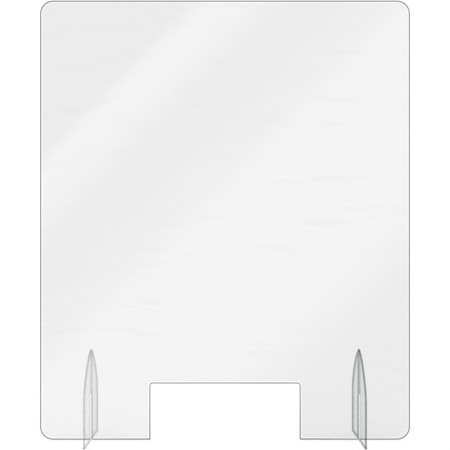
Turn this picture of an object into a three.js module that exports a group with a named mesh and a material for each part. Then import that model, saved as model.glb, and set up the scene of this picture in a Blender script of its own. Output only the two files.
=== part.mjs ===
// Clear acrylic desk screen: one tall sheet with a pass-through at its bottom edge, on two blade feet.
//
// Millimetres, +Z up. The origin is on the desk, under the middle of the sheet. The sheet lies in the
// XZ plane and its front looks along -Y. The feet cross it at right angles, in planes parallel to YZ.
// A cross-lap joins each foot to the sheet: the sheet is slotted from its bottom edge and the foot from
// its tip, each over half of the foot's height, so that the two slide together and need no screw or glue.
// The bottom edge of the sheet and the undersides of the feet all rest on the desk.

import * as THREE from "three";

// ---- Driving dimensions ----------------------------------------------------------------------------

const SHEET_THICKNESS = 4;
const SHEET_WIDTH = 800;
const SHEET_HEIGHT = 950;
const SHEET_CORNER_RADIUS = 28;

const PASS_THROUGH_WIDTH = 323;
const PASS_THROUGH_HEIGHT = 121.5;
const PASS_THROUGH_TOP_RADIUS = 5;
const PASS_THROUGH_FOOT_RADIUS = 3;

const FOOT_THICKNESS = 4;
const FOOT_DEPTH = 200;
const FOOT_HEIGHT = 197;
const FOOT_SPACING = 580; // from the middle plane of one foot to that of the other

// The side of a foot is upright, then turns inwards on a shoulder arc and runs up to the tip on a
// flatter crown arc.
const FOOT_SHOULDER_RADIUS = 60;
const FOOT_CROWN_RADIUS = 175;
const FOOT_SHOULDER_TURN = THREE.MathUtils.degToRad(31);

const SLIP_GAP = 0.3; // between a slot and what slides in it

const ARC_STEPS = 12; // straight steps in half of each arc

// ---- Sizes that follow from them -------------------------------------------------------------------

const slotInSheetWidth = FOOT_THICKNESS + 2 * SLIP_GAP;
const slotInFootWidth = SHEET_THICKNESS + 2 * SLIP_GAP;
const lapHeight = FOOT_HEIGHT / 2; // where the two slots meet
const slotInSheetTop = lapHeight + SLIP_GAP / 2;
const slotInFootFloor = lapHeight - SLIP_GAP / 2;

// ---- Finishes --------------------------------------------------------------------------------------

function clearAcrylic(color, opacity) {
  return new THREE.MeshStandardMaterial({
    color,
    roughness: 0.05,
    metalness: 0,
    transparent: true,
    opacity,
  });
}

// ---- Outlines --------------------------------------------------------------------------------------

// A closed outline through square corners, each rounded by an arc of its own radius.
function roundedOutline(corners) {
  const outline = new THREE.Shape();
  corners.forEach(({ x, y, radius = 0 }, index) => {
    const corner = new THREE.Vector2(x, y);
    const before = corners.at(index - 1);
    const after = corners[(index + 1) % corners.length];
    const back = new THREE.Vector2(before.x, before.y).sub(corner).normalize();
    const onward = new THREE.Vector2(after.x, after.y).sub(corner).normalize();
    if (radius === 0) {
      if (index === 0) outline.moveTo(x, y);
      else outline.lineTo(x, y);
      return;
    }
    const centre = corner.clone().addScaledVector(back, radius).addScaledVector(onward, radius);
    const startAngle = onward.clone().negate().angle();
    const endAngle = back.clone().negate().angle();
    const turnsClockwise = onward.cross(back) < 0;
    outline.absarc(centre.x, centre.y, radius, startAngle, endAngle, turnsClockwise);
  });
  return outline;
}

// The sheet seen from the front, walked anticlockwise: along the bottom edge with its two slots and the
// pass-through between them, then up and round.
function sheetOutline() {
  const side = SHEET_WIDTH / 2;
  const opening = PASS_THROUGH_WIDTH / 2;

  const slotCorners = (middle) => [
    { x: middle - slotInSheetWidth / 2, y: 0 },
    { x: middle - slotInSheetWidth / 2, y: slotInSheetTop },
    { x: middle + slotInSheetWidth / 2, y: slotInSheetTop },
    { x: middle + slotInSheetWidth / 2, y: 0 },
  ];

  return roundedOutline([
    ...slotCorners(-FOOT_SPACING / 2),
    { x: -opening, y: 0, radius: PASS_THROUGH_FOOT_RADIUS },
    { x: -opening, y: PASS_THROUGH_HEIGHT, radius: PASS_THROUGH_TOP_RADIUS },
    { x: opening, y: PASS_THROUGH_HEIGHT, radius: PASS_THROUGH_TOP_RADIUS },
    { x: opening, y: 0, radius: PASS_THROUGH_FOOT_RADIUS },
    ...slotCorners(FOOT_SPACING / 2),
    { x: side, y: 0, radius: SHEET_CORNER_RADIUS },
    { x: side, y: SHEET_HEIGHT, radius: SHEET_CORNER_RADIUS },
    { x: -side, y: SHEET_HEIGHT, radius: SHEET_CORNER_RADIUS },
    { x: -side, y: 0, radius: SHEET_CORNER_RADIUS },
  ]);
}

// A foot seen from its side, walked anticlockwise: the underside, up one side and over its shoulder to
// the tip, down into the slot and out of it, and back down the other side. The crown arc passes through
// the tip point above the slot's middle, which fixes how high the shoulder starts.
function footOutline() {
  const half = FOOT_DEPTH / 2;
  const slotHalf = slotInFootWidth / 2;
  const radiusStep = FOOT_SHOULDER_RADIUS - FOOT_CROWN_RADIUS;

  const shoulderX = half - FOOT_SHOULDER_RADIUS;
  const crownX = shoulderX + radiusStep * Math.cos(FOOT_SHOULDER_TURN);
  const crownY = FOOT_HEIGHT - Math.sqrt(FOOT_CROWN_RADIUS ** 2 - crownX ** 2);
  const shoulderY = crownY - radiusStep * Math.sin(FOOT_SHOULDER_TURN);
  const crownEnd = Math.acos((slotHalf - crownX) / FOOT_CROWN_RADIUS);

  const outline = new THREE.Shape();
  outline.moveTo(-half, 0);
  outline.lineTo(half, 0);
  outline.absarc(shoulderX, shoulderY, FOOT_SHOULDER_RADIUS, 0, FOOT_SHOULDER_TURN, false);
  outline.absarc(crownX, crownY, FOOT_CROWN_RADIUS, FOOT_SHOULDER_TURN, crownEnd, false);
  outline.lineTo(slotHalf, slotInFootFloor);
  outline.lineTo(-slotHalf, slotInFootFloor);
  outline.absarc(-crownX, crownY, FOOT_CROWN_RADIUS, Math.PI - crownEnd, Math.PI - FOOT_SHOULDER_TURN, false);
  outline.absarc(-shoulderX, shoulderY, FOOT_SHOULDER_RADIUS, Math.PI - FOOT_SHOULDER_TURN, Math.PI, false);
  return outline;
}

// ---- Pieces ----------------------------------------------------------------------------------------

// A flat plate cut to an outline, centred on the outline's own plane.
function plate(name, outline, thickness, material) {
  const geometry = new THREE.ExtrudeGeometry(outline, {
    depth: thickness,
    bevelEnabled: false,
    curveSegments: ARC_STEPS,
  });
  geometry.translate(0, 0, -thickness / 2);
  const mesh = new THREE.Mesh(geometry, material);
  mesh.name = name;
  return mesh;
}

// The sheet stands up: its outline's Y becomes +Z.
function panel() {
  const mesh = plate("panel", sheetOutline(), SHEET_THICKNESS, clearAcrylic(0xeef0f0, 0.3));
  mesh.rotation.x = Math.PI / 2;
  return mesh;
}

// A foot stands across the sheet: its outline's X becomes +Y, and its Y becomes +Z.
function foot(name, x) {
  const mesh = plate(name, footOutline(), FOOT_THICKNESS, clearAcrylic(0xdde1df, 0.35));
  mesh.rotation.set(Math.PI / 2, Math.PI / 2, 0);
  mesh.position.x = x;
  return mesh;
}

// ---- Assembly --------------------------------------------------------------------------------------

const screen = new THREE.Group();
screen.add(panel());
screen.add(foot("foot_left", -FOOT_SPACING / 2));
screen.add(foot("foot_right", FOOT_SPACING / 2));

export default screen;
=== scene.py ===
# %% [markdown]
# # A clear acrylic desk screen
#
# The object is a tall sheet of clear acrylic that stands on a desk on two clear blade feet. Nothing
# holds it together but slots: the sheet is slotted from below, each foot from above, and they slide
# into each other. Clear plastic has almost no look of its own, so what the eye reads is its edges, its
# faint grey tint and what it reflects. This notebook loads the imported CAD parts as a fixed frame,
# models the three plates again with their real polished edges, and lights them as glass is lit in a
# studio, from all round.

import math

import bmesh
import bpy
from mathutils import Matrix, Vector


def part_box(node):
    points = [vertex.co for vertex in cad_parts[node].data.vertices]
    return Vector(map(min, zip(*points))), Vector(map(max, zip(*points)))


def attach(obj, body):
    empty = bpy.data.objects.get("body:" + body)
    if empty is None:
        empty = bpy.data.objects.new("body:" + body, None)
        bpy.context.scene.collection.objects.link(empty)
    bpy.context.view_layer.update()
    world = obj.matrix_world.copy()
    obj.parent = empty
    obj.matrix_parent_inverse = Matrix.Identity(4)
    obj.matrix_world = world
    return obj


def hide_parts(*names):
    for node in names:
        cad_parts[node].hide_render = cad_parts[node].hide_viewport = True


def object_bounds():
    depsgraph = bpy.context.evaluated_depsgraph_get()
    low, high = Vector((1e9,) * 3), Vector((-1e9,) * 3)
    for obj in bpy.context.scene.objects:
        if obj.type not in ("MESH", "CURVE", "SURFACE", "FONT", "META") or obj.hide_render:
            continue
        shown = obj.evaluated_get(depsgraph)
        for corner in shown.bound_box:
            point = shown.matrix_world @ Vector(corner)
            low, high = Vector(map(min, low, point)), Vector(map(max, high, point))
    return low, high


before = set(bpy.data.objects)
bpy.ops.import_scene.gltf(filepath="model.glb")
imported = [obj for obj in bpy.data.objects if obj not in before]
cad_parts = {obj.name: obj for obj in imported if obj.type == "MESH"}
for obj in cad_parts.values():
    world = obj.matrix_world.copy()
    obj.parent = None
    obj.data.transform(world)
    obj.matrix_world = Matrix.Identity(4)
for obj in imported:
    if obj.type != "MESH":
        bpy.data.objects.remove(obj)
cad_low, cad_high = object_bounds()
scene = bpy.context.scene
print("CAD box", [round(v, 4) for v in cad_low], [round(v, 4) for v in cad_high])

# %% [markdown]
# ## The camera
#
# The screen is seen square on, from the height of someone sitting at the desk. The lens looks level, so
# that the sides of the sheet stay parallel, and a small vertical shift lifts the view up the sheet, as
# the rising front of a view camera does. Tilting the camera instead would make the sides lean inwards.
# A distance of two metres gives the feet the slight perspective that shows their inner faces.

# %% Place the camera
CAMERA_DISTANCE = 2.0
FRAME_HEIGHT = 0.974  # how much of the sheet's plane the frame takes in, from top to bottom
FRAME_FOOTROOM = 0.0225  # from the desk down to the bottom of the frame, in the sheet's plane
RISE = 0.06  # the shift, as a share of the frame
SENSOR_MM = 36

camera_data = bpy.data.cameras.new("desk_camera")
camera_data.sensor_width = SENSOR_MM
camera_data.lens = SENSOR_MM * CAMERA_DISTANCE / FRAME_HEIGHT
camera_data.shift_y = RISE
camera = bpy.data.objects.new("desk_camera", camera_data)
camera_height = FRAME_HEIGHT * (0.5 - RISE) - FRAME_FOOTROOM
camera.location = (0, -CAMERA_DISTANCE, camera_height)
camera.rotation_euler = (math.radians(90), 0, 0)
scene.collection.objects.link(camera)
scene.camera = camera
print("camera height", round(camera_height, 3), "m, lens", round(camera_data.lens, 1), "mm")

# %% [markdown]
# ## Sizes
#
# The boxes of the three plates come from the frame. What a box can't say, such as a corner radius or
# the width of a slot, is named here in metres, and repeats the drawing that the plates are cut to.

# %% Read the boxes and name the other sizes
sheet_low, sheet_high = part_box("panel")
foot_boxes = {"left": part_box("foot_left"), "right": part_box("foot_right")}

SHEET_CORNER_RADIUS = 0.028
OPENING_WIDTH = 0.323
OPENING_HEIGHT = 0.1215
OPENING_TOP_RADIUS = 0.005
OPENING_FOOT_RADIUS = 0.003

SLIP_GAP = 0.0003
TIP_HEIGHT = 0.197  # where the two sides of a foot would meet if it had no slot
SHOULDER_RADIUS = 0.060
CROWN_RADIUS = 0.175
SHOULDER_TURN = math.radians(31)

sheet_thickness = sheet_high.y - sheet_low.y
foot_middles = {side: (low.x + high.x) / 2 for side, (low, high) in foot_boxes.items()}
foot_low, foot_high = foot_boxes["left"]
foot_thickness = foot_high.x - foot_low.x
slot_in_sheet = foot_thickness + 2 * SLIP_GAP
slot_in_foot = sheet_thickness + 2 * SLIP_GAP
slot_in_sheet_top = TIP_HEIGHT / 2 + SLIP_GAP / 2
slot_in_foot_floor = TIP_HEIGHT / 2 - SLIP_GAP / 2
print("sheet", round(sheet_thickness * 1000, 2), "mm thick, foot middles at x", foot_middles)

# %% [markdown]
# ## From a flat face to a polished plate
#
# Every piece is a flat plate cut from stock, so the helpers do what the workshop does: draw the
# outline as one flat face, extrude it to the thickness of the stock, and ease every edge with a
# polished round, so that the plates slide together and are kind to hands. Two bands are then inset on
# each broad face, beside the round. The narrow one is painted dark with the rim, as painted shade for
# the dark line that a polished rim shows when it is seen edge on. The margin inside it is painted
# bright, as a painted highlight for the light line that such an edge shows beside it. Bevelling the
# mesh is used rather than a bevel modifier, because the corners of the outline and the edges of the
# plate are rounded to different radii.

# %% Helpers for plates
# The rims carry painted shade and the margins a painted highlight, each by its own material.
FACE_MATERIAL, EDGE_MATERIAL, HIGHLIGHT_MARGIN_MATERIAL, SLOT_MATERIAL = 0, 1, 2, 3
EDGE_ROUND = 0.0014
EDGE_STEPS = 6
RIM_BAND = 0.0007
HIGHLIGHT_MARGIN_WIDTH = 0.0020
RIM_WIDTH = EDGE_ROUND + RIM_BAND + HIGHLIGHT_MARGIN_WIDTH
SHARP_TURN = math.radians(35)
SHORTEST_EDGE = 0.0006
STRAIGHT_ON = 0.999  # the cosine of a turn too small to matter
SAME_PLACE = 1e-5


def thicken(mesh, travel):
    """Extrudes the flat face of a mesh along travel, into a plate with square edges."""
    grown = bmesh.ops.extrude_face_region(mesh, geom=mesh.faces[:], use_keep_orig=True)
    moved = [item for item in grown["geom"] if isinstance(item, bmesh.types.BMVert)]
    bmesh.ops.translate(mesh, verts=moved, vec=travel)
    bmesh.ops.recalc_face_normals(mesh, faces=mesh.faces[:])


def bevel(mesh, edges, radius, steps):
    """Rounds edges over to a radius."""
    bmesh.ops.bevel(
        mesh,
        geom=edges,
        offset=radius,
        offset_type="OFFSET",
        segments=steps,
        profile=0.5,
        affect="EDGES",
        clamp_overlap=False,
        material=-1,
    )


def inset_band(mesh, faces, width, material):
    """Cuts a band round the inside of the broad faces and gives it a material."""
    band = bmesh.ops.inset_region(mesh, faces=faces, thickness=width, use_even_offset=True)["faces"]
    for face in band:
        face.material_index = material


def polish(mesh, through):
    """Eases every edge between a broad face and the rim, and marks the bands of painted shade and painted
    highlight.
    """

    def broad_faces():
        flat = [face for face in mesh.faces if abs(face.normal.dot(through)) > STRAIGHT_ON]
        largest = max(face.calc_area() for face in flat)
        return [face for face in flat if face.calc_area() > largest / 2]

    broad = set(broad_faces())
    rim = [edge for edge in mesh.edges if len(broad.intersection(edge.link_faces)) == 1]
    bevel(mesh, rim, EDGE_ROUND, EDGE_STEPS)
    for face in mesh.faces:
        face.material_index = EDGE_MATERIAL
        face.smooth = True
    inset_band(mesh, broad_faces(), RIM_BAND, EDGE_MATERIAL)
    broad = set(broad_faces())
    loop = [edge for edge in mesh.edges if broad.intersection(edge.link_faces)]
    bmesh.ops.collapse(mesh, edges=[edge for edge in loop if edge.calc_length() < SHORTEST_EDGE])
    inset_band(mesh, broad_faces(), HIGHLIGHT_MARGIN_WIDTH, HIGHLIGHT_MARGIN_MATERIAL)
    for face in broad_faces():
        face.material_index = FACE_MATERIAL
    for edge in mesh.edges:
        edge.smooth = edge.calc_face_angle(math.pi) < SHARP_TURN


def finish_piece(mesh, name):
    """Turns a bmesh into a linked object whose broad faces keep flat normals."""
    open_edges = [edge for edge in mesh.edges if len(edge.link_faces) != 2]
    data = bpy.data.meshes.new(name)
    mesh.to_mesh(data)
    mesh.free()
    piece = bpy.data.objects.new(name, data)
    scene.collection.objects.link(piece)
    flatten = piece.modifiers.new("flat_face_normals", "WEIGHTED_NORMAL")
    flatten.keep_sharp = True
    print(name, len(data.polygons), "faces,", len(open_edges), "open edges")
    return piece


# %% [markdown]
# ## The sheet
#
# The sheet is drawn by its corners only: the two slots, the pass-through and the four outer corners,
# each with the radius it is rounded to. The plate is extruded square, and the short edges that run
# through its thickness are then bevelled to those radii, which is easier to change than an outline of
# many points.

# %% Model the sheet
OUTER_CORNER_STEPS = 24
SMALL_CORNER_STEPS = 8


def sheet_corners():
    """The corners of the sheet as (x, z, radius), walked round from the left slot."""
    half_slot = slot_in_sheet / 2
    half_opening = OPENING_WIDTH / 2
    low, top = sheet_low.z, sheet_high.z

    def slot(middle):
        return [
            (middle - half_slot, low, 0),
            (middle - half_slot, slot_in_sheet_top, 0),
            (middle + half_slot, slot_in_sheet_top, 0),
            (middle + half_slot, low, 0),
        ]

    return [
        *slot(foot_middles["left"]),
        (-half_opening, low, OPENING_FOOT_RADIUS),
        (-half_opening, OPENING_HEIGHT, OPENING_TOP_RADIUS),
        (half_opening, OPENING_HEIGHT, OPENING_TOP_RADIUS),
        (half_opening, low, OPENING_FOOT_RADIUS),
        *slot(foot_middles["right"]),
        (sheet_high.x, low, SHEET_CORNER_RADIUS),
        (sheet_high.x, top, SHEET_CORNER_RADIUS),
        (sheet_low.x, top, SHEET_CORNER_RADIUS),
        (sheet_low.x, low, SHEET_CORNER_RADIUS),
    ]


def edges_at_corner(mesh, x, z):
    """The edge that runs through the sheet at one corner of the outline."""
    middle = Vector((x, (sheet_low.y + sheet_high.y) / 2, z))

    def distance(edge):
        start, end = (vert.co for vert in edge.verts)
        return ((start + end) / 2 - middle).length

    return [edge for edge in mesh.edges if distance(edge) < SAME_PLACE]


def is_by_a_slot(place):
    """Whether a place on the sheet is within the rounded rim of one of its slots."""
    reach = slot_in_sheet / 2 + RIM_WIDTH
    beside = any(abs(place.x - middle) < reach for middle in foot_middles.values())
    return beside and EDGE_ROUND + RIM_BAND < place.z < slot_in_sheet_top + reach


def make_sheet():
    """The clear sheet, from its corners."""
    mesh = bmesh.new()
    corners = sheet_corners()
    mesh.faces.new([mesh.verts.new((x, sheet_low.y, z)) for x, z, radius in corners])
    thicken(mesh, Vector((0, sheet_thickness, 0)))
    for x, z, radius in corners:
        if radius:
            steps = OUTER_CORNER_STEPS if radius > OPENING_TOP_RADIUS else SMALL_CORNER_STEPS
            bevel(mesh, edges_at_corner(mesh, x, z), radius, steps)
    polish(mesh, Vector((0, 1, 0)))
    broad_side = sheet_thickness / 2 - SAME_PLACE
    for face in mesh.faces:
        centre = face.calc_center_median()
        if is_by_a_slot(centre):
            face.material_index = FACE_MATERIAL if abs(centre.y) > broad_side else SLOT_MATERIAL
    return finish_piece(mesh, "clear_sheet")


sheet = make_sheet()

# %% [markdown]
# ## The feet
#
# A foot is a blade with upright sides that turn in on a short shoulder arc and meet in a blunt tip on a
# longer crown arc. Spinning one vertex about the centre of each arc draws half of that outline exactly,
# and a mirror makes the other half, so that both sides of the blade match.

# %% Model the feet
SHOULDER_STEPS = 12
CROWN_STEPS = 16


def add_point(mesh, last, place):
    """Draws a straight line from the last vertex to a new one."""
    vert = mesh.verts.new(place)
    if last is not None:
        mesh.edges.new((last, vert))
    return vert


def add_arc(mesh, last, centre, turn, steps):
    """Draws an arc from the last vertex by spinning it about a centre, in the plane of the blade."""
    spun = bmesh.ops.spin(
        mesh,
        geom=[last],
        cent=centre,
        axis=(1, 0, 0),
        angle=turn,
        steps=steps,
        use_duplicate=False,
    )
    return [item for item in spun["geom_last"] if isinstance(item, bmesh.types.BMVert)][0]


def draw_foot_outline(mesh, x):
    """The outline of a foot in the plane at x: its rear half, then the mirror image of that."""
    arc_step = SHOULDER_RADIUS - CROWN_RADIUS
    shoulder_y = foot_high.y - SHOULDER_RADIUS
    crown_y = shoulder_y + arc_step * math.cos(SHOULDER_TURN)
    crown_z = TIP_HEIGHT - math.sqrt(CROWN_RADIUS**2 - crown_y**2)
    shoulder_z = crown_z - arc_step * math.sin(SHOULDER_TURN)
    crown_turn = math.acos((slot_in_foot / 2 - crown_y) / CROWN_RADIUS) - SHOULDER_TURN

    last = add_point(mesh, None, (x, 0, foot_low.z))
    last = add_point(mesh, last, (x, foot_high.y, foot_low.z))
    last = add_point(mesh, last, (x, foot_high.y, shoulder_z))
    last = add_arc(mesh, last, (x, shoulder_y, shoulder_z), SHOULDER_TURN, SHOULDER_STEPS)
    last = add_arc(mesh, last, (x, crown_y, crown_z), crown_turn, CROWN_STEPS)
    last = add_point(mesh, last, (x, slot_in_foot / 2, slot_in_foot_floor))
    add_point(mesh, last, (x, 0, slot_in_foot_floor))
    half = mesh.verts[:] + mesh.edges[:]
    bmesh.ops.mirror(mesh, geom=half, matrix=Matrix.Identity(4), merge_dist=1e-6, axis="Y")


def make_foot(side):
    """One blade foot, from its outline."""
    low, high = foot_boxes[side]
    mesh = bmesh.new()
    draw_foot_outline(mesh, low.x)
    bmesh.ops.contextual_create(mesh, geom=mesh.edges[:])
    thicken(mesh, Vector((high.x - low.x, 0, 0)))
    polish(mesh, Vector((1, 0, 0)))
    for face in mesh.faces:
        centre = face.calc_center_median()
        by_the_slot = abs(centre.y) < slot_in_foot / 2 + RIM_WIDTH and centre.z > RIM_WIDTH
        is_wall = abs(face.normal.y) > STRAIGHT_ON
        if by_the_slot and (is_wall or face.material_index == HIGHLIGHT_MARGIN_MATERIAL):
            face.material_index = FACE_MATERIAL
        elif by_the_slot and face.material_index == EDGE_MATERIAL:
            face.material_index = SLOT_MATERIAL
    return finish_piece(mesh, "blade_foot_" + side)


feet = {side: make_foot(side) for side in foot_boxes}

# %% [markdown]
# ## Marks that clear plastic picks up
#
# Acrylic is soft, so even a clean screen carries faint wiping arcs and hairlines. They don't colour the
# plastic. They take a little of its shine away, and make it a trace less clear. One node group draws them
# for every plate, as noise stretched into long thin strokes and bent by a second, slower noise. It reads
# the piece's own coordinates and puts out only values, and the shader itself stays in each material.

# %% Small node helpers and the wiping marks


def new_group(name, inputs, outputs):
    """A node group with its inputs as (name, socket type, value) and its outputs as (name, socket type)."""
    group = bpy.data.node_groups.new(name, "ShaderNodeTree")
    for title, kind, value in inputs:
        socket = group.interface.new_socket(title, in_out="INPUT", socket_type=kind)
        if value is not None:
            socket.default_value = value
    for title, kind in outputs:
        group.interface.new_socket(title, in_out="OUTPUT", socket_type=kind)
    return group, group.nodes.new("NodeGroupInput"), group.nodes.new("NodeGroupOutput")


def feed(tree, socket, value):
    """Links a socket into another, or sets its value."""
    if isinstance(value, bpy.types.NodeSocket):
        tree.links.new(value, socket)
    else:
        socket.default_value = value


def math_node(tree, operation, first, second=0.0):
    """The result of a Math node."""
    node = tree.nodes.new("ShaderNodeMath")
    node.operation = operation
    feed(tree, node.inputs[0], first)
    feed(tree, node.inputs[1], second)
    return node.outputs[0]


def noise_node(tree, place, scale, detail):
    """Noise at a place, as a value."""
    node = tree.nodes.new("ShaderNodeTexNoise")
    feed(tree, node.inputs["Vector"], place)
    feed(tree, node.inputs["Scale"], scale)
    feed(tree, node.inputs["Detail"], detail)
    return node.outputs[0]


def ramp_node(tree, value, start, end, low=0.0, high=1.0):
    """Rises smoothly from low, where value is start, to high, where it is end."""
    node = tree.nodes.new("ShaderNodeMapRange")
    node.interpolation_type = "SMOOTHSTEP"
    settings = {"Value": value, "From Min": start, "From Max": end, "To Min": low, "To Max": high}
    for title, setting in settings.items():
        feed(tree, node.inputs[title], setting)
    return node.outputs["Result"]


def mix_colours(tree, factor, first, second):
    """A colour between two others, each a socket or a red, green and blue."""
    node = tree.nodes.new("ShaderNodeMix")
    node.data_type = "RGBA"
    feed(tree, node.inputs["Factor"], factor)
    for title, colour in (("A", first), ("B", second)):
        feed(tree, node.inputs[title], colour if isinstance(colour, bpy.types.NodeSocket) else (*colour, 1))
    return node.outputs["Result"]


WIPE_BEND = (0.25, 0.25, 0.25)
WIPE_SLANT = math.radians(28)
WIPE_STRETCH = (4, 4, 90)
HAZE_ROUGHENS = 0.04
HAZE_DULLS = 0.25


def make_wiping_marks():
    """Cloth arcs and hairlines, which dull the shine of a polished face."""
    group, start, end = new_group(
        "wiping_marks",
        [
            ("Vector", "NodeSocketVector", None),
            ("Gloss", "NodeSocketFloat", 0.01),
            ("Shine", "NodeSocketFloat", 1.0),
        ],
        [("Haze", "NodeSocketFloat"), ("Roughness", "NodeSocketFloat"), ("Shine", "NodeSocketFloat")],
    )
    bend = group.nodes.new("ShaderNodeTexNoise")
    group.links.new(start.outputs["Vector"], bend.inputs["Vector"])
    bend.inputs["Scale"].default_value = 3
    shifted = group.nodes.new("ShaderNodeVectorMath")
    shifted.operation = "MULTIPLY_ADD"
    group.links.new(bend.outputs["Color"], shifted.inputs[0])
    shifted.inputs[1].default_value = WIPE_BEND
    group.links.new(start.outputs["Vector"], shifted.inputs[2])
    stretch = group.nodes.new("ShaderNodeMapping")
    stretch.inputs["Rotation"].default_value = (0, WIPE_SLANT, 0)
    stretch.inputs["Scale"].default_value = WIPE_STRETCH
    group.links.new(shifted.outputs[0], stretch.inputs["Vector"])
    strokes = ramp_node(group, noise_node(group, stretch.outputs[0], 1, 4), 0.45, 0.75)
    patches = ramp_node(group, noise_node(group, start.outputs["Vector"], 5, 2), 0.35, 0.65)
    haze = math_node(group, "MULTIPLY", strokes, patches)
    rough = math_node(group, "ADD", start.outputs["Gloss"], math_node(group, "MULTIPLY", haze, HAZE_ROUGHENS))
    dulled = math_node(group, "SUBTRACT", 1.0, math_node(group, "MULTIPLY", haze, HAZE_DULLS))
    group.links.new(haze, end.inputs["Haze"])
    group.links.new(rough, end.inputs["Roughness"])
    shine = math_node(group, "MULTIPLY", dulled, start.outputs["Shine"])
    group.links.new(shine, end.inputs["Shine"])
    return group


wiping_marks = make_wiping_marks()
print("group", wiping_marks.name, "with", len(wiping_marks.nodes), "nodes")

# %% [markdown]
# ## Marks of the cutter on an edge
#
# A saw or router leaves fine lines that cross the thickness of the plate, and a flame or a buffing wheel
# polishes most of them away. The group draws what is left as noise that hardly changes across the edge
# and changes fast along it. Each plate says which way its thickness runs by giving that direction no
# lines at all.

# %% Node group: cutter marks


def make_cutter_marks():
    """Lines across the thickness of an edge, with a roughness and a shine that follow them."""
    group, start, end = new_group(
        "cutter_marks",
        [("Vector", "NodeSocketVector", None), ("Lines per metre", "NodeSocketVector", (900, 900, 900))],
        [("Lines", "NodeSocketFloat"), ("Roughness", "NodeSocketFloat"), ("Shine", "NodeSocketFloat")],
    )
    stretched = group.nodes.new("ShaderNodeVectorMath")
    stretched.operation = "MULTIPLY"
    group.links.new(start.outputs["Vector"], stretched.inputs[0])
    group.links.new(start.outputs["Lines per metre"], stretched.inputs[1])
    lines = noise_node(group, stretched.outputs[0], 1, 3)
    group.links.new(lines, end.inputs["Lines"])
    group.links.new(ramp_node(group, lines, 0.3, 0.7, 0.05, 0.16), end.inputs["Roughness"])
    group.links.new(ramp_node(group, lines, 0.3, 0.7, 0.5, 0.2), end.inputs["Shine"])
    return group


cutter_marks = make_cutter_marks()
print("group", cutter_marks.name, "with", len(cutter_marks.nodes), "nodes")

# %% [markdown]
# ## Clear acrylic
#
# Acrylic mirrors about four hundredths of the light that meets it head on, and more and more of what
# skims along it. A clear coat with the index of acrylic, 1.49, gives that. The body under the coat lets
# light straight through, without bending it, and takes away a little as a tint. Plates as thin as these
# move what is behind them by about a millimetre, which nobody would see, but a plate that bends light
# also traps it inside when it is seen along its length, and then its far edge goes missing. This way
# both edges of a foot show at their full thickness, as they do on a polished plate in an even light.
#
# The tint stands for more than the plastic's own colour. The broad faces are a light grey. The edges
# are painted shade, dark where a polished rim would hide the bright studio from the eye, and the
# margin beside them is a painted highlight, clearest of all. The rims of the slots carry a lighter
# painted shade, a light grey, because two of them and the plate between them have to read as one
# narrow line.

# %% Materials for any plate
ACRYLIC_INDEX = 1.49
STRAIGHT_THROUGH = 1.0  # the index of a body that doesn't bend light
COAT_ROUGHNESS = 0.01
HAZE_DEPTH = 0.985  # how much of its tint a hazy spot keeps


def acrylic(name):
    """A material with one Principled shader set to plain clear acrylic, and its object coordinates."""
    material = bpy.data.materials.new(name)
    material.use_nodes = True
    tree = material.node_tree
    shader = tree.nodes["Principled BSDF"]
    shader.inputs["Metallic"].default_value = 0
    shader.inputs["Transmission Weight"].default_value = 1
    shader.inputs["IOR"].default_value = STRAIGHT_THROUGH
    shader.inputs["Coat IOR"].default_value = ACRYLIC_INDEX
    shader.inputs["Coat Roughness"].default_value = COAT_ROUGHNESS
    return material, tree, shader, tree.nodes.new("ShaderNodeTexCoord").outputs["Object"]


def place_group(tree, group, place):
    """Puts a node group in a material and gives it the coordinates."""
    node = tree.nodes.new("ShaderNodeGroup")
    node.node_tree = group
    tree.links.new(place, node.inputs["Vector"])
    return node


def face_material(name, tint, shine):
    """The broad face of a plate: clear and faintly tinted, with wiping marks in its shine."""
    material, tree, shader, place = acrylic(name)
    marks = place_group(tree, wiping_marks, place)
    marks.inputs["Shine"].default_value = shine
    hazy = [channel * HAZE_DEPTH for channel in tint]
    tree.links.new(mix_colours(tree, marks.outputs["Haze"], tint, hazy), shader.inputs["Base Color"])
    tree.links.new(marks.outputs["Roughness"], shader.inputs["Roughness"])
    tree.links.new(marks.outputs["Shine"], shader.inputs["Coat Weight"])
    return material


def edge_material(name, dark, light, density):
    """The cut and polished rim of a plate, its dark tint painted shade, with the cutter's lines across it."""
    material, tree, shader, place = acrylic(name)
    marks = place_group(tree, cutter_marks, place)
    marks.inputs["Lines per metre"].default_value = density
    tree.links.new(mix_colours(tree, marks.outputs["Lines"], dark, light), shader.inputs["Base Color"])
    tree.links.new(marks.outputs["Roughness"], shader.inputs["Roughness"])
    tree.links.new(marks.outputs["Shine"], shader.inputs["Coat Weight"])
    return material


# %% The sheet's materials
LINES_PER_METRE = 900
SHEET_LINES = (LINES_PER_METRE, 0, LINES_PER_METRE)
SHEET_SHINE = 1.0

sheet_face = face_material("sheet_face", (0.79, 0.79, 0.79), SHEET_SHINE)
# The edge and slot tints are painted shade, and the margin's white is a painted highlight.
sheet_edge_painted_shade = edge_material("sheet_edge_painted_shade", (0.08, 0.085, 0.085), (0.22, 0.23, 0.23), SHEET_LINES)
sheet_highlight_margin = face_material("sheet_highlight_margin", (1.0, 1.0, 1.0), SHEET_SHINE)
sheet_slot = edge_material("sheet_slot", (0.62, 0.63, 0.63), (0.74, 0.75, 0.75), SHEET_LINES)
for material in (sheet_face, sheet_edge_painted_shade, sheet_highlight_margin, sheet_slot):
    sheet.data.materials.append(material)
print("sheet materials", [material.name for material in sheet.data.materials])
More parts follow.
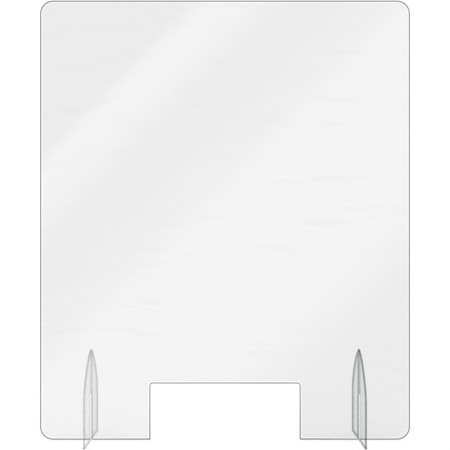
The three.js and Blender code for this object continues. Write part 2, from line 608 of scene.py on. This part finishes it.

# %% [markdown]
# ## The feet and the line along the lap
#
# The feet are seen almost edge on, so their shine is kept lower than the sheet's, or it would wash out
# everything behind it. The two feet are the same piece, but the right one stands in dimmer light and
# reads darker than the left, so each has its own set of tints, and the right foot's darker set is
# painted shade.
#
# Where the sheet passes through a foot, the walls of the two slots close up into one dark line from
# the tip to the desk, when the eye looks along the plate. In real acrylic the bending of the light does
# that. Here a band of painted shade, a deeper tint on the faces of the foot, stands in for it, strong
# on the inner face and weak on the outer one, so that the two don't double the line. A Layer Weight
# node lets it show only at a skimming angle, so that the foot stays clear from its side.

# %% The feet's materials
FOOT_SHINE = 0.3
LAP_REACH = 0.0085  # half the width of the band, where it is half as strong
OUTER_SHARE = 0.32  # how strong the band is on the outer face of a foot, beside the inner one
LAP_SOFTNESS = 0.0015
SKIMMING = (0.6, 0.85)  # from where the band starts to show to where it is full, as a Facing value
# Among these, the line along the lap and the tints of the edge and of the slot's rim are painted shade.
FOOT_TINTS = {  # face, line along the lap, dark lines on the edge, light lines on the edge, slot's rim
    "left": (
        (0.905, 0.915, 0.908),
        (0.20, 0.205, 0.202),
        (0.34, 0.35, 0.345),
        (0.48, 0.50, 0.49),
        (0.74, 0.75, 0.745),
    ),
    # the right foot's tints, darker than the left's: painted shade
    "right": (
        (0.82, 0.835, 0.825),
        (0.012, 0.015, 0.013),
        (0.10, 0.112, 0.106),
        (0.18, 0.20, 0.19),
        (0.34, 0.355, 0.348),
    ),
}
# The margin's near white is a painted highlight beside the rim.
FOOT_HIGHLIGHT_TINT = (0.98, 0.985, 0.98)
SLOT_LINES = 1.15  # how much lighter the lines on a slot's rim are than the rim itself
FOOT_LINES = (0, LINES_PER_METRE, LINES_PER_METRE)


def add_painted_lap_shade(material, deep, middle):
    """Deepens the tint of a foot's inner face beside the sheet with painted shade, for light that skims along
    the foot.
    """
    tree = material.node_tree
    shader_colour = tree.nodes["Principled BSDF"].inputs["Base Color"]
    plain = shader_colour.links[0].from_socket
    split = tree.nodes.new("ShaderNodeSeparateXYZ")
    tree.links.new(tree.nodes["Texture Coordinate"].outputs["Object"], split.inputs[0])
    aside = math_node(tree, "ABSOLUTE", split.outputs["Y"])
    beside = ramp_node(tree, aside, LAP_REACH + LAP_SOFTNESS, LAP_REACH - LAP_SOFTNESS)
    slant = tree.nodes.new("ShaderNodeLayerWeight")
    skimming = ramp_node(tree, slant.outputs["Facing"], *SKIMMING)
    inner = "GREATER_THAN" if middle < 0 else "LESS_THAN"
    share = math_node(tree, "MAXIMUM", math_node(tree, inner, split.outputs["X"], middle), OUTER_SHARE)
    factor = math_node(tree, "MULTIPLY", math_node(tree, "MULTIPLY", beside, skimming), share)
    tree.links.new(mix_colours(tree, factor, plain, deep), shader_colour)


for side, (tint, deep, dark, light, slot_tint) in FOOT_TINTS.items():
    foot_face = face_material("foot_face_" + side, tint, FOOT_SHINE)
    add_painted_lap_shade(foot_face, deep, foot_middles[side])
    foot_edge_painted_shade = edge_material("foot_edge_painted_shade_" + side, dark, light, FOOT_LINES)
    foot_highlight_margin = face_material("foot_highlight_margin_" + side, FOOT_HIGHLIGHT_TINT, FOOT_SHINE)
    slot_light = [channel * SLOT_LINES for channel in slot_tint]
    foot_slot = edge_material("foot_slot_" + side, slot_tint, slot_light, FOOT_LINES)
    for material in (foot_face, foot_edge_painted_shade, foot_highlight_margin, foot_slot):
        feet[side].data.materials.append(material)
    print(side, "foot materials", [material.name for material in feet[side].data.materials])

# %% [markdown]
# ## Which body each piece rides on
#
# The sheet lifts off the feet, so each plate rides on its own body and stands in for its CAD solid.

# %% Attach the pieces
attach(sheet, "panel")
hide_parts("panel")
for side, foot in feet.items():
    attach(foot, "foot_" + side)
    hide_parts("foot_" + side)

# %% [markdown]
# ## The studio
#
# Clear things are lit by their background. The floor and the surroundings are one even white, so the
# plates show as a faint grey, and their darker rims are the painted shade of the edge tints. The floor
# is larger than any view, and most of its light is its own, so that the plates shade it only faintly
# where they stand.

# %% World and floor
STUDIO_WHITE = 1.05

scene.view_settings.view_transform = "Standard"
world = bpy.data.worlds.new("studio")
world.use_nodes = True
world.node_tree.nodes["Background"].inputs["Color"].default_value = (1, 1, 1, 1)
world.node_tree.nodes["Background"].inputs["Strength"].default_value = STUDIO_WHITE
scene.world = world


def stage_plane(name, size, matrix, material):
    """A square of the studio, which is not part of the object."""
    mesh = bmesh.new()
    bmesh.ops.create_grid(mesh, x_segments=1, y_segments=1, size=size / 2)
    bmesh.ops.transform(mesh, matrix=matrix, verts=mesh.verts[:])
    data = bpy.data.meshes.new(name)
    mesh.to_mesh(data)
    mesh.free()
    data.materials.append(material)
    plane = bpy.data.objects.new(name, data)
    scene.collection.objects.link(plane)
    return plane


FLOOR_SHADE = 0.3  # how much of the floor's light comes from the room, and so can be shaded


def floor_material():
    """A pale table lit from within as much as from above, so that shadows stay faint."""
    material = bpy.data.materials.new("pale_floor")
    material.use_nodes = True
    shader = material.node_tree.nodes["Principled BSDF"]
    shader.inputs["Base Color"].default_value = (FLOOR_SHADE, FLOOR_SHADE, FLOOR_SHADE, 1)
    shader.inputs["Roughness"].default_value = 1
    shader.inputs["Specular IOR Level"].default_value = 0
    shader.inputs["Emission Color"].default_value = (1, 1, 1, 1)
    shader.inputs["Emission Strength"].default_value = STUDIO_WHITE * (1 - FLOOR_SHADE)
    return material


FLOOR_SIZE = 400
FLOOR_DROP = 0.0003
under_the_desk_line = Matrix.Translation((0, 0, cad_low.z - FLOOR_DROP))
floor = stage_plane("floor", FLOOR_SIZE, under_the_desk_line, floor_material())
floor.visible_glossy = False
print("floor", FLOOR_SIZE, "m square")

# %% [markdown]
# ## The sheen
#
# A clear sheet shows nothing until something bright stands in front of it. A studio uses a card: a
# large soft light whose reflection falls across the plastic. This one is seen only in reflections, so it
# lights nothing else. Its brightness changes along the diagonal, in a narrow band and then a broad one,
# and dies away towards its borders, so that no view shows where it ends.

# %% The sheen card
SHEEN_DISTANCE = 1.0
SHEEN_CENTRE_HEIGHT = 0.5
SHEEN_HALF_SIZE = 1.3
SHEEN_SOLID = 0.78  # how far from the middle of the card the fading starts
SHEEN_STRENGTH = 1.7
SHEEN_STEPS = [  # place along the diagonal of the card, in metres, and share of full brightness
    (-1.36, 0.0),
    (-1.24, 1.0),
    (-1.17, 0.85),
    (-1.00, 0.12),
    (-0.88, 0.10),
    (-0.72, 0.35),
    (-0.55, 1.0),
    (-0.05, 1.0),
    (0.35, 0.0),
]


def bands_along(tree, value, steps):
    """A value that follows the steps, smoothly, as another value runs from the first to the last."""
    first, last = steps[0][0], steps[-1][0]
    ramp = tree.nodes.new("ShaderNodeValToRGB")
    ramp.color_ramp.interpolation = "EASE"
    while len(ramp.color_ramp.elements) < len(steps):
        ramp.color_ramp.elements.new(0.5)
    for element, (place, share) in zip(ramp.color_ramp.elements, steps):
        element.position = (place - first) / (last - first)
        element.color = (share, share, share, 1)
    offset = math_node(tree, "SUBTRACT", value, first)
    tree.links.new(math_node(tree, "DIVIDE", offset, last - first), ramp.inputs["Fac"])
    return ramp.outputs["Color"]


def sheen_material():
    """Adds light in diagonal bands and lets everything behind it through."""
    material = bpy.data.materials.new("sheen_card")
    material.use_nodes = True
    tree = material.node_tree
    tree.nodes.clear()
    place = tree.nodes.new("ShaderNodeTexCoord").outputs["Object"]
    split = tree.nodes.new("ShaderNodeSeparateXYZ")
    tree.links.new(place, split.inputs[0])
    diagonal = math_node(tree, "SUBTRACT", split.outputs["X"], split.outputs["Z"])
    strength = math_node(tree, "MULTIPLY", bands_along(tree, diagonal, SHEEN_STEPS), SHEEN_STRENGTH)
    for axis, middle in (("X", 0.0), ("Z", SHEEN_CENTRE_HEIGHT)):
        away = math_node(tree, "ABSOLUTE", math_node(tree, "SUBTRACT", split.outputs[axis], middle))
        window = ramp_node(tree, away, SHEEN_HALF_SIZE, SHEEN_SOLID)
        strength = math_node(tree, "MULTIPLY", strength, window)
    glow = tree.nodes.new("ShaderNodeEmission")
    tree.links.new(strength, glow.inputs["Strength"])
    both = tree.nodes.new("ShaderNodeAddShader")
    tree.links.new(tree.nodes.new("ShaderNodeBsdfTransparent").outputs[0], both.inputs[0])
    tree.links.new(glow.outputs[0], both.inputs[1])
    tree.links.new(both.outputs[0], tree.nodes.new("ShaderNodeOutputMaterial").inputs["Surface"])
    return material


stood_up = Matrix.Rotation(math.radians(90), 4, "X")
in_front = Matrix.Translation((0, -SHEEN_DISTANCE, SHEEN_CENTRE_HEIGHT))
sheen_card = stage_plane("sheen_card", SHEEN_HALF_SIZE * 2, in_front @ stood_up, sheen_material())
sheen_card.visible_camera = False
sheen_card.visible_diffuse = False
sheen_card.visible_transmission = False
sheen_card.visible_shadow = False
print("sheen card", SHEEN_HALF_SIZE * 2, "m square,", SHEEN_DISTANCE, "m in front of the sheet")
